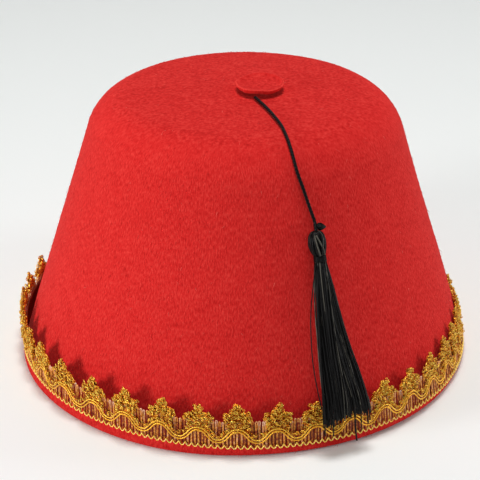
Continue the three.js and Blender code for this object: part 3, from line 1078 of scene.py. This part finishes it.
def make_fleurons(sizes, crown):
    """Looped yarn: a small circle run round and round while its middle follows a fleuron's route, with
    the circle's size, its phase and its depth wandering by seeded cosines. Under it a thicker yarn
    goes to and fro and fills the fleuron. Each fleuron leans and stretches a little in its own way,
    and at both sides it stands prouder and its colour is lighter. Each curl is painted lighter where
    it turns outward and stands out and darker where it lies back, as painted highlight and painted
    shade, and the yarn under it is painted darker, as shade. Two pieces hold half the fleurons each."""
    rng = np.random.default_rng(31)
    half = np.array(FLEURON_ROUTE) * MM
    whole = np.concatenate([half, half[-2::-1] * (-1, 1)])
    length = route_length(smooth_route(whole, 1200))
    curls = round(length / sizes.loop_pitch)
    per_curl = 6
    route = smooth_route(whole, curls * per_curl + 1)
    share = np.linspace(0, 1, len(route))
    number = sizes.fleurons

    def wander(cycles):
        phase = rng.random((number, 3)) * TURN
        rate = cycles * np.array([1, 1.7, 2.3])
        return np.cos(TURN * share[None, :, None] * rate + phase[:, None]).sum(-1) / 1.7

    phase = TURN * curls * share + rng.random((number, 1)) * TURN + 1.5 * wander(23)
    radius = sizes.loop_radius * (1 + 0.5 * wander(37))
    place = (np.arange(number) + number // 2) % number - number // 2
    middle = place[:, None] * repeat(sizes)
    lean = rng.normal(0, 0.5 * MM, (number, 1))
    grow = rng.normal(0, 0.44 * MM, (number, 1))
    near = len(FLEURON_HEIGHTS)
    grow[(np.arange(near) - 4) % number, 0] = (np.array(FLEURON_HEIGHTS) - 1) * 11 * MM
    bearing = sizes.offset + middle / sizes.radius
    sides = sum(bump(bearing, *proud_place) for proud_place in PROUD_PLACES)
    proud = sizes.proud * sides

    def placed(points):
        stand = np.clip((points[:, 1] - 12 * MM) / (11 * MM), 0, 1)
        return middle + points[:, 0] + lean * stand, points[:, 1] + grow * stand

    side_run, climb = placed(route)
    depth = wander(19)
    along = side_run + 0.6 * MM * wander(9) + radius * np.cos(phase)
    height = climb + 0.55 * MM * wander(11) + radius * np.sin(phase)
    out = proud + 0.1 * MM + 0.35 * MM * np.sin(phase + 1) + 0.55 * MM * depth
    paths = wrapped(sizes, crown, along, out, height)
    breadth, level = np.array(FLEURON_WEB).T * MM
    breadth = breadth * (-1) ** np.arange(len(breadth))
    to_and_fro = np.stack([np.stack([-breadth, breadth], 1).ravel(), np.repeat(level, 2)], 1)
    web_run, web_climb = placed(smooth_route(to_and_fro, 120))
    web = wrapped(sizes, crown, web_run, proud - sizes.web_depth, web_climb)
    side = facing(sizes, middle[:, 0])[:, None]
    # Painted light in the tint: it rises where a curl turns outward and stands out, a painted highlight, and
    # falls where it lies back, painted shade. The web lies 0.1 lower, painted shade behind the curls. The
    # tint is also higher at both sides of the hat.
    shade = 0.64 + 0.08 * rng.random((number, 1)) + 0.1 * sides
    tint = shade + 0.14 * np.sin(phase + 1) + 0.12 * depth
    material = metallic_yarn("looped_metallic_yarn", loop_stops(sizes), 0.28, 0.5 * MM, 4)
    in_front = np.abs(place + 0.5) < number / 4
    pieces = []
    for name, part in (("front", in_front), ("back", ~in_front)):
        surface = joined(
            tubes(paths[part], sizes.loop_yarn, 3, side[part], tint=tint[part]),
            tubes(web[part], sizes.web_yarn, 4, side[part], tint=shade[part] - 0.1),
        )
        piece = make_piece("braid_fleurons_" + name, surface, material, "gold_braid", "trim_braid")
        pieces.append(piece)
    return pieces


def loop_stops(sizes):
    """The ramp of the looped yarn, from painted red shade deep in its curls to a painted pale glint."""
    shades = (sizes.loop_shade, sizes.loop_amber, sizes.loop_gold, sizes.loop_bright, sizes.loop_glint)
    return tuple(zip((0.26, 0.4, 0.54, 0.8, 1), shades))


# ---- Cord and tassel ----


def tassel_axes(sizes, crown):
    """The middle of the head and three directions: sideways, out of the wall, and down it."""
    lean = crown.wall_lean
    radius = crown.rim_radius - sizes.head_height * math.tan(lean) + sizes.standoff / math.cos(lean)
    sine, cosine = math.sin(sizes.turn), math.cos(sizes.turn)
    middle = np.array([radius * sine, -radius * cosine, sizes.head_height])
    side = np.array([cosine, sine, 0])
    out = np.array([sine * math.cos(lean), -cosine * math.cos(lean), math.sin(lean)])
    drop = np.cross(side, out)
    return middle, side, out, drop


def in_tassel(axes, side, out, drop):
    """Points of the tassel's frame, given as three arrays, in the hat's frame."""
    middle, side_axis, out_axis, drop_axis = axes
    side, out, drop = (a[..., None] for a in np.broadcast_arrays(side, out, drop))
    return middle + side * side_axis + out * out_axis + drop * drop_axis


def section(rows, drop):
    """The columns of a table of sections at each drop, in metres: a smooth curve runs through the
    rows, and stays on the last one past its end."""
    table = smooth_route(np.array(rows) * MM, 200)
    return {name: np.interp(drop, table[:, 0], table[:, k]) for k, name in enumerate(SECTION)}


def oval(axes, rows, drop, share, columns=32):
    """Rings of a form through a table of sections, at `share` of its width and thickness."""
    angle = TURN * np.arange(columns) / columns
    here = {name: column[:, None] for name, column in section(rows, drop).items()}
    side = here["side"] + share * here["wide"] * np.cos(angle)
    out = here["out"] + share * here["thick"] * np.sin(angle)
    return in_tassel(axes, side, out, drop[:, None])


def make_head(sizes, axes, material):
    """Strands folded over the cord: each climbs the head from the neck to its top along one meridian
    of the oval form, a little turned, over a plain core. Some lie across the others."""
    rng = np.random.default_rng(41)
    number = sizes.head_strands
    drop = np.linspace(HEAD_ROWS[0][0], HEAD_ROWS[-1][0] + 0.4, 24) * MM
    here = section(HEAD_ROWS, drop)
    girth = np.pi * (here["wide"] + here["thick"]) / number
    radius = np.minimum(girth * 0.6, 0.42 * MM) * rng.uniform(0.8, 1.2, (number, 1))
    start = TURN * (np.arange(number) + rng.uniform(-0.3, 0.3, number)) / number
    angle = start[:, None] + 0.16 * np.sin(drop / (3 * MM) + rng.random((number, 1)) * TURN)
    inward = radius * 0.8 + 0.25 * MM * rng.random((number, 1))
    side = here["side"] + (here["wide"] - inward) * np.cos(angle)
    out = here["out"] + (here["thick"] - inward) * np.sin(angle)
    paths = in_tassel(axes, side, out, drop)
    across = np.cross(axes[3], paths - axes[0])
    strands = tubes(paths, radius, 7, unit(across), tint=rng.random(number) ** 2)
    lower = np.linspace(-3.4, 4.4, 18) * MM
    there = section(HEAD_ROWS, lower)
    slant = np.stack([np.linspace(1.9, 1.0, 18), np.linspace(2.1, 1.75, 18), np.linspace(1.25, 1.5, 18)])
    crossing = in_tassel(
        axes,
        there["side"] + (there["wide"] + 0.1 * MM) * np.cos(slant),
        there["out"] + (there["thick"] + 0.1 * MM) * np.sin(slant),
        lower,
    )
    # The crossing strand is tinted high, so it takes the painted glint.
    over = tubes(crossing, 0.28 * MM, 7, unit(np.cross(axes[3], crossing - axes[0])), tint=(0.9, 1, 0.6))
    core_drop = np.linspace(HEAD_ROWS[0][0] + 0.3, HEAD_ROWS[-1][0], 16) * MM
    rings = oval(axes, HEAD_ROWS, core_drop, 0.78)
    core = closed_shell(rings, rings[0].mean(0), rings[-1].mean(0), 20 * MM, tint=0)
    surface = joined(strands, over, core)
    return make_piece("tassel_head_strands", surface, material, "black_cord", "tassel_head")


def make_binding(sizes, axes, material):
    """Thread wound round the neck: a helix on the oval neck, with a turn for each thread's width."""
    low, high = BINDING_ROWS[0][0], BINDING_ROWS[-1][0]
    turns = sizes.binding_turns
    thread = (high - low) * MM / (turns + 1) / 2
    share = np.linspace(0, 1, turns * 28)
    drop = low * MM + thread + share * ((high - low) * MM - 2 * thread)
    angle = TURN * turns * share
    here = section(BINDING_ROWS, drop)
    side = here["side"] + here["wide"] * np.cos(angle)
    out = here["out"] + here["thick"] * np.sin(angle)
    path = in_tassel(axes, side, out, drop)[None]
    surface = tubes(path, thread * 1.08, 8, axes[3], tint=0.6)
    rings = oval(axes, BINDING_ROWS, np.linspace(low, high, 6) * MM, 0.95)
    core = closed_shell(rings, rings[0].mean(0), rings[-1].mean(0), 14 * MM, tint=0)
    return make_piece(
        "tassel_neck_binding", joined(surface, core), material, "black_cord", "tassel_binding"
    )


def laid_plies(sizes, path, level):
    """Three plies laid round a path: each is a helix about it, a third of a turn from the next."""
    step = np.linalg.norm(np.diff(path, axis=0), axis=1)
    run = np.concatenate([[0], np.cumsum(step)])
    along = unit(np.gradient(path, axis=0))
    upward = unit(np.cross(along, level))
    level = np.cross(upward, along)
    ply = sizes.cord_diameter * 0.235
    orbit = sizes.cord_diameter / 2 - ply
    paths = []
    for start in (0, TURN / 3, 2 * TURN / 3):
        spin = (TURN * run / sizes.cord_lay + start)[:, None]
        paths.append(path + orbit * (np.cos(spin) * upward + np.sin(spin) * level))
    # The third ply is tinted highest, so it takes most of the painted glint.
    return tubes(np.stack(paths), ply, 8, level, tint=(0, 0.22, 0.62))


def make_skirt(sizes, axes, material):
    """Hanging strands: each keeps its own place in the unit circle at the neck, and is drawn to its
    clump's place further down, while the oval sections widen. It sways by two slow cosines and ends
    at its own length. Longer and stray strands follow their own table."""
    rng = np.random.default_rng(51)
    number, steps = sizes.skirt_strands, 16
    share = np.linspace(0, 1, steps)

    def in_circle(amount, power):
        radius, angle = rng.random(amount) ** power, TURN * rng.random(amount)
        return np.stack([radius * np.cos(angle), radius * np.sin(angle)])

    home = in_circle(sizes.skirt_clumps, 0.35)
    clump = rng.integers(sizes.skirt_clumps, size=number)
    gather = 0.85 * share**0.5
    own = in_circle(number, 0.5)[:, :, None]
    theirs = (1.05 * home[:, clump] + rng.normal(0, 0.07, (2, number)))[:, :, None]
    place = own + (theirs - own) * gather
    place = place / np.maximum(1, np.linalg.norm(place, axis=0))
    last = rng.normal(0, 0.9, sizes.skirt_clumps)[clump] + rng.normal(0, 0.6, number)
    ends = (66 - 0.9 * place[0, :, -1] + last - 1.5 * rng.random(number) ** 3) * MM
    top = SKIRT_ROWS[0][0] * MM
    drop = top + share * (ends - top)[:, None]
    here = section(SKIRT_ROWS, drop)
    slow = rng.uniform(0.3, 0.9, (number, 1))
    quick = rng.uniform(1.5, 3, (number, 1))
    begin = TURN * rng.random((2, number, 1))
    sway = 0.35 * np.cos(TURN * share * slow + begin[0]) + 0.12 * np.cos(TURN * share * quick + begin[1])
    sway = sway * share * MM
    side = here["side"] + here["wide"] * place[0] + sway
    out = here["out"] + here["thick"] * place[1] + sway[::-1] * 0.5
    radius = sizes.strand * rng.uniform(0.75, 1.2, (number, 1))
    shine = 0.3 * rng.random(sizes.skirt_clumps)[clump] + 0.7 * rng.random(number)
    hanging = tubes(in_tassel(axes, side, out, drop), radius, 5, axes[2], tint=shine)
    start, end, bow, last, radius = (np.array(column)[:, None] for column in zip(*STRAY_ROWS))
    drop = top + share * (last * MM - top)
    here = section(SKIRT_ROWS, drop)
    side = here["side"] + here["wide"] * (start + (end - start) * share)
    side = side + bow * MM * np.sin(math.pi * share)
    out = here["out"] + here["thick"] * 0.5 - 0.8 * MM * np.clip((drop - 66 * MM) / (6 * MM), 0, 1)
    stray = tubes(in_tassel(axes, side, out, drop), radius * MM, 6, axes[2], tint=0.35)
    surface = joined(hanging, stray)
    return make_piece("tassel_skirt_strands", surface, material, "black_cord", "tassel_skirt")


def make_knot(sizes, axes, material):
    """The cord runs on into the head's top under one wound turn, a ring. Its cut end lies to one side
    like a bud: filaments that spread from the knot to the table's breadth and close to a tip."""
    rng = np.random.default_rng(61)
    run_on = smooth_route(np.array(KNOT_ROUTE) * MM, 40)
    path = in_tassel(axes, *run_on.T)
    neck = laid_plies(sizes, path, axes[1])
    angle = TURN * np.linspace(0, 1, 32)
    side = 0.6 * MM + 0.5 * MM * np.cos(angle)
    out = -1.3 * MM + 0.5 * MM * np.sin(angle)
    drop = -6.2 * MM + 0.3 * MM * np.cos(angle + 0.6)
    wound = tubes(in_tassel(axes, side, out, drop)[None], 0.34 * MM, 10, axes[3], tint=0.3)
    number = 90
    share = np.linspace(0, 1, 10)
    spread = np.sqrt(rng.random((number, 1)))
    way = TURN * rng.random((number, 1))
    reach = 3.5 * MM * rng.uniform(0.88, 1, (number, 1))
    breadth = np.interp(share, *BUD_BREADTH) * MM
    side = 0.75 * MM + reach * share
    drop = (-6.1 + 0.55 * share) * MM + breadth * spread * np.cos(way)
    out = (-1.1 + 0.6 * share) * MM + 0.8 * breadth * spread * np.sin(way)
    bud = tubes(in_tassel(axes, side, out, drop), 0.24 * MM, 5, axes[2], tint=rng.random(number) * 0.75)
    surface = joined(neck, wound, bud)
    return make_piece("cord_tie", surface, material, "black_cord", "cord_knot")


def make_cord(sizes, material):
    """The plies of the cord round its route from the button to the knot."""
    path = smooth_route(np.array(CORD_ROUTE) * MM, 330)
    heading = path[-1] - path[0]
    level = unit(np.array([-heading[1], heading[0], 0]))
    surface = laid_plies(sizes, path, level)
    cord = make_piece("twisted_cord", surface, material, "black_cord", "tassel_cord")
    return cord


# ---- Stage ----


def aim(thing, place, target):
    """Puts a camera or light at a place, facing its target."""
    thing.location = place
    thing.rotation_euler = (Vector(target) - Vector(place)).to_track_quat("-Z", "Y").to_euler()
    bpy.context.scene.collection.objects.link(thing)


def make_camera(sizes):
    """The camera, at its place and turned to its target."""
    camera = bpy.data.objects.new("camera", bpy.data.cameras.new("camera"))
    camera.data.lens = sizes.lens
    aim(camera, sizes.camera, sizes.target)
    bpy.context.scene.camera = camera


def make_light(name, bearing, rise, watts, sizes):
    """A disk-shaped light turned to the hat, at an angle round it from the front and an angle up."""
    light = bpy.data.lights.new(name, "AREA")
    light.shape = "DISK"
    light.size = sizes.light_breadth
    light.energy = watts
    level, reach = math.cos(rise), sizes.light_reach
    middle = Vector((0, 0, 50 * MM))
    away = Vector((level * math.sin(bearing), -level * math.cos(bearing), math.sin(rise)))
    aim(bpy.data.objects.new(name, light), middle + reach * away, middle)


def make_floor(sizes):
    """A level board that turns up far behind in a quarter circle: a profile carried sideways."""
    reach, bend, rise = 1.6, 0.5, 1.2
    angle = np.linspace(0, math.pi / 2, 24)
    depth = np.concatenate([[-reach], reach / 2 + bend * np.sin(angle), [reach / 2 + bend]])
    height = np.concatenate([[0], bend * (1 - np.cos(angle)), [rise]])
    across = np.linspace(-2.5, 2.5, 12)
    points = np.stack(
        [
            np.broadcast_to(across[:, None], (len(across), len(depth))),
            np.broadcast_to(depth, (len(across), len(depth))),
            np.broadcast_to(height, (len(across), len(depth))),
        ],
        -1,
    )
    i, j = np.meshgrid(np.arange(len(across) - 1), np.arange(len(depth) - 1), indexing="ij")
    corner = i * len(depth) + j
    quads = np.stack([corner, corner + len(depth), corner + len(depth) + 1, corner + 1], -1)
    mesh = bpy.data.meshes.new("floor")
    mesh.from_pydata(points.reshape(-1, 3).tolist(), [], quads.reshape(-1, 4).tolist())
    mesh.shade_smooth()
    mesh.materials.append(matte_board(sizes))
    floor = bpy.data.objects.new("floor", mesh)
    bpy.context.scene.collection.objects.link(floor)


def make_room(sizes):
    """The even light of a white room."""
    world = bpy.data.worlds.new("white_room")
    world.use_nodes = True
    tree = world.node_tree
    tree.nodes.clear()
    light = add(tree, "Background", {"Color": linear("FAFCFF"), "Strength": sizes.sky})
    add(tree, "OutputWorld", links={"Surface": light})
    bpy.context.scene.world = world
    bpy.context.scene.view_settings.view_transform = "Standard"


# ---- Operators and panel ----


class FEZ_OT_stage(bpy.types.Operator):
    """Makes the camera, the floor and the lights"""

    bl_idname = "fez.stage"
    bl_label = "Stage"

    def execute(self, context):
        sizes = context.scene.fez_stage
        make_camera(sizes)
        make_floor(sizes)
        make_room(sizes)
        for name, strength, bearing, rise in LIGHTS:
            make_light(name, bearing * DEGREE, rise * DEGREE, getattr(sizes, strength), sizes)
        return {"FINISHED"}


class FEZ_OT_tassel(bpy.types.Operator):
    """Makes the cord, its knot and the tassel's head, binding and skirt"""

    bl_idname = "fez.tassel"
    bl_label = "Cord and tassel"

    def execute(self, context):
        sizes = context.scene.fez_tassel
        axes = tassel_axes(sizes, context.scene.fez_crown)
        material = twisted_rayon(sizes)
        pieces = [
            make_knot(sizes, axes, material),
            make_head(sizes, axes, material),
            make_binding(sizes, axes, material),
        ]
        make_cord(sizes, material)
        make_skirt(sizes, axes, material)
        return {"FINISHED"}


class FEZ_OT_crown(bpy.types.Operator):
    """Makes the felt crown, its loose fibres and the button"""

    bl_idname = "fez.crown"
    bl_label = "Crown and button"

    def execute(self, context):
        sizes = context.scene.fez_crown
        make_crown(sizes)
        make_fibres(sizes)
        make_button(sizes)
        return {"FINISHED"}


class FEZ_OT_braid(bpy.types.Operator):
    """Makes the gold braid: the open band, its scalloped edge, the wave and the fleurons"""

    bl_idname = "fez.braid"
    bl_label = "Braid"

    def execute(self, context):
        sizes = context.scene.fez_braid
        crown = context.scene.fez_crown
        make_ladder(sizes, crown)
        make_edge(sizes, crown)
        make_wave(sizes, crown)
        make_fleurons(sizes, crown)
        return {"FINISHED"}


class FEZ_PT_panel(bpy.types.Panel):
    """Lists the hat's sizes and the operators that make its pieces"""

    bl_idname = "FEZ_PT_panel"
    bl_label = "Fez hat"
    bl_space_type = "VIEW_3D"
    bl_region_type = "UI"
    bl_category = "Fez"

    def draw(self, context):
        for group, operator in GROUPS:
            box = self.layout.box()
            sizes = getattr(context.scene, group)
            for name in sizes.bl_rna.properties.keys():
                if name not in ("name", "rna_type"):
                    box.prop(sizes, name)
            box.operator(operator.bl_idname)


SIZES = {
    "fez_stage": StageSizes,
    "fez_tassel": TasselSizes,
    "fez_crown": CrownSizes,
    "fez_braid": BraidSizes,
}
GROUPS = (
    ("fez_stage", FEZ_OT_stage),
    ("fez_tassel", FEZ_OT_tassel),
    ("fez_crown", FEZ_OT_crown),
    ("fez_braid", FEZ_OT_braid),
)


def register():
    """Adds the sizes, the operators and the panel."""
    for name, group in SIZES.items():
        bpy.utils.register_class(group)
        setattr(bpy.types.Scene, name, bpy.props.PointerProperty(type=group))
    for _, operator in GROUPS:
        bpy.utils.register_class(operator)
    bpy.utils.register_class(FEZ_PT_panel)


def unregister():
    """Takes away what register added."""
    bpy.utils.unregister_class(FEZ_PT_panel)
    for _, operator in reversed(GROUPS):
        bpy.utils.unregister_class(operator)
    for name, group in SIZES.items():
        delattr(bpy.types.Scene, name)
        bpy.utils.unregister_class(group)


def main():
    """Makes every piece in order."""
    register()
    bpy.ops.fez.stage()
    bpy.ops.fez.tassel()
    bpy.ops.fez.crown()
    bpy.ops.fez.braid()


if __name__ == "__main__":
    main()
